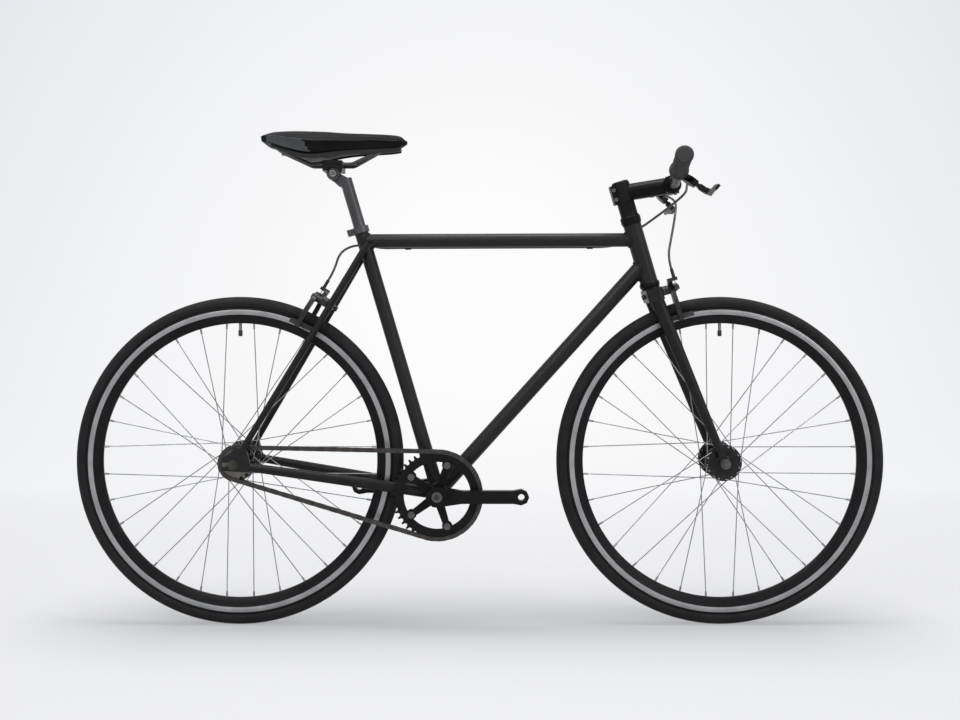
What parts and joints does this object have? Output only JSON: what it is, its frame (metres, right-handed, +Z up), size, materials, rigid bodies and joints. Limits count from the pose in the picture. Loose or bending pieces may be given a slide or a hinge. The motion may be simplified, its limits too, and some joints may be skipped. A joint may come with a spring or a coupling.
{
  "type": "fixed gear bike",
  "caption": "Black fixed gear bike with a steel diamond frame, deep rims with machined brake tracks, a flat bar, rim brakes front and rear, and bare crank arms without pedals.",
  "frame": {"origin": "on the ground, midway between the two axles, in the bike's middle plane", "axes": "+X forward, +Y to the rider's left (away from the chain), +Z up"},
  "size_m": [1.672, 0.5904, 1.0204],
  "materials": {
    "frame_paint": "satin black paint",
    "black_alloy": "black anodised alloy",
    "rim_alloy": "black alloy with a bare machined brake track",
    "seatpost_alloy": "dark polished alloy",
    "steel": "plain steel",
    "spoke_steel": "drawn stainless wire",
    "chain_steel": "dark oiled steel",
    "tyre_rubber": "matte black tread",
    "inner_tube_rubber": "thin butyl",
    "grip_rubber": "soft black rubber",
    "cable_housing": "grey cable housing",
    "saddle_cover": "black synthetic leather with grey side panels",
    "saddle_shell": "moulded black shell"
  },
  "bodies": {
    "frame": {"head_tube": "frame_paint", "bottom_bracket_shell": "frame_paint", "seat_tube": "frame_paint", "top_tube": "frame_paint", "down_tube": "frame_paint", "rear_dropouts": "frame_paint", "chainstays": "frame_paint", "seatstays": "frame_paint", "brake_bridge": "frame_paint", "seat_clamp": "black_alloy", "cable_guides": "frame_paint", "headset_cups": "black_alloy", "bottom_bracket_cartridge": "steel", "rear_axle": "steel", "chain": "chain_steel", "rear_brake_bracket": "black_alloy", "rear_brake_cable": "cable_housing", "rear_brake_cable_loop": "cable_housing"},
    "fork": {"fork_steerer": "steel", "fork_crown": "frame_paint", "fork_blades": "frame_paint", "headset_spacers": "black_alloy", "headset_top_cap": "black_alloy", "stem": "black_alloy", "stem_faceplate": "black_alloy", "stem_bolts": "steel", "handlebar": "black_alloy", "handlebar_grips": "grip_rubber", "brake_lever_brackets": "black_alloy", "front_axle": "steel", "front_brake_bracket": "black_alloy", "front_brake_cable": "cable_housing"},
    "front_wheel": {"front_tyre": "tyre_rubber", "front_inner_tube": "inner_tube_rubber", "front_spokes": "spoke_steel", "front_rim": "rim_alloy", "front_hub": "black_alloy"},
    "rear_wheel": {"rear_tyre": "tyre_rubber", "rear_inner_tube": "inner_tube_rubber", "rear_spokes": "spoke_steel", "rear_rim": "rim_alloy", "rear_hub": "black_alloy", "rear_cog": "steel", "cog_lockring": "steel"},
    "crankset": {"chainring": "black_alloy", "crank_arm_right": "black_alloy", "crank_arm_left": "black_alloy", "bottom_bracket_spindle": "steel", "crankset_bolts": "steel"},
    "brake_lever_left": {"brake_lever_left": "black_alloy"},
    "brake_lever_right": {"brake_lever_right": "black_alloy"},
    "front_brake_arm_left": {"front_brake_arm_left": "black_alloy"},
    "front_brake_arm_right": {"front_brake_arm_right": "black_alloy"},
    "rear_brake_arm_left": {"rear_brake_arm_left": "black_alloy"},
    "rear_brake_arm_right": {"rear_brake_arm_right": "black_alloy"},
    "seatpost": {"seatpost": "seatpost_alloy"},
    "saddle_clamp": {"saddle_clamp": "black_alloy"},
    "saddle": {"saddle_rails": "steel", "saddle_shell": "saddle_shell", "saddle_cover": "saddle_cover"}
  },
  "joints": [
    {"name": "steering", "type": "hinge", "parent": "frame", "child": "fork", "pos_m": [0.33294, 0, 0.76821], "axis": [-0.2807, 0, 0.9598], "range_deg": [-60, 60], "deforming": ["rear_brake_cable_loop"]},
    {"name": "front_wheel_spin", "type": "hinge", "parent": "fork", "child": "front_wheel", "pos_m": [0.497, 0, 0.339], "axis": [0, 1, 0], "continuous": true},
    {"name": "rear_wheel_spin", "type": "hinge", "parent": "frame", "child": "rear_wheel", "pos_m": [-0.497, 0, 0.339], "axis": [0, 1, 0], "continuous": true, "deforming": ["chain"]},
    {"name": "crank_spin", "type": "hinge", "parent": "frame", "child": "crankset", "pos_m": [-0.08688, 0, 0.274], "axis": [0, 1, 0], "continuous": true},
    {"name": "left_lever_pull", "type": "hinge", "parent": "fork", "child": "brake_lever_left", "pos_m": [0.40958, 0.16299, 0.89616], "axis": [0.6428, 0.0047, 0.766], "range_deg": [0, 22], "stiffness_Nm_per_rad": 0.6, "springref_deg": -28.65},
    {"name": "right_lever_pull", "type": "hinge", "parent": "fork", "child": "brake_lever_right", "pos_m": [0.40958, -0.16299, 0.89616], "axis": [-0.6428, 0.0047, -0.766], "range_deg": [0, 22], "stiffness_Nm_per_rad": 0.6, "springref_deg": -28.65},
    {"name": "front_brake_right", "type": "hinge", "parent": "fork", "child": "front_brake_arm_right", "pos_m": [0.39919, -0.014, 0.69381], "axis": [0.9598, 0, 0.2807], "range_deg": [0, 2], "deforming": ["front_brake_cable"]},
    {"name": "front_brake_left", "type": "hinge", "parent": "fork", "child": "front_brake_arm_left", "pos_m": [0.39919, 0.014, 0.69381], "axis": [-0.9598, 0, -0.2807], "range_deg": [0, 2]},
    {"name": "rear_brake_left", "type": "hinge", "parent": "frame", "child": "rear_brake_arm_left", "pos_m": [-0.33578, 0.014, 0.67474], "axis": [-0.86, 0, 0.5103], "range_deg": [0, 2], "deforming": ["rear_brake_cable"]},
    {"name": "rear_brake_right", "type": "hinge", "parent": "frame", "child": "rear_brake_arm_right", "pos_m": [-0.33578, -0.014, 0.67474], "axis": [0.86, 0, -0.5103], "range_deg": [0, 2]},
    {"name": "seatpost_height", "type": "slide", "parent": "frame", "child": "seatpost", "axis": [-0.284, 0, 0.9588], "range_m": [-0.06, 0.04]},
    {"name": "saddle_tilt", "type": "hinge", "parent": "seatpost", "child": "saddle_clamp", "pos_m": [-0.30288, 0, 0.93126], "axis": [0, 1, 0], "range_deg": [-10, 10]},
    {"name": "saddle_slide", "type": "slide", "parent": "saddle_clamp", "child": "saddle", "axis": [1, 0, 0], "range_m": [-0.01, 0.01]}
  ],
  "couplings": [
    {"joint": "crank_spin", "follows": "rear_wheel_spin", "ratio": 0.36364},
    {"joint": "front_brake_left", "follows": "left_lever_pull", "ratio": 0.087},
    {"joint": "front_brake_right", "follows": "left_lever_pull", "ratio": 0.087},
    {"joint": "rear_brake_left", "follows": "right_lever_pull", "ratio": 0.087},
    {"joint": "rear_brake_right", "follows": "right_lever_pull", "ratio": 0.087}
  ]
}
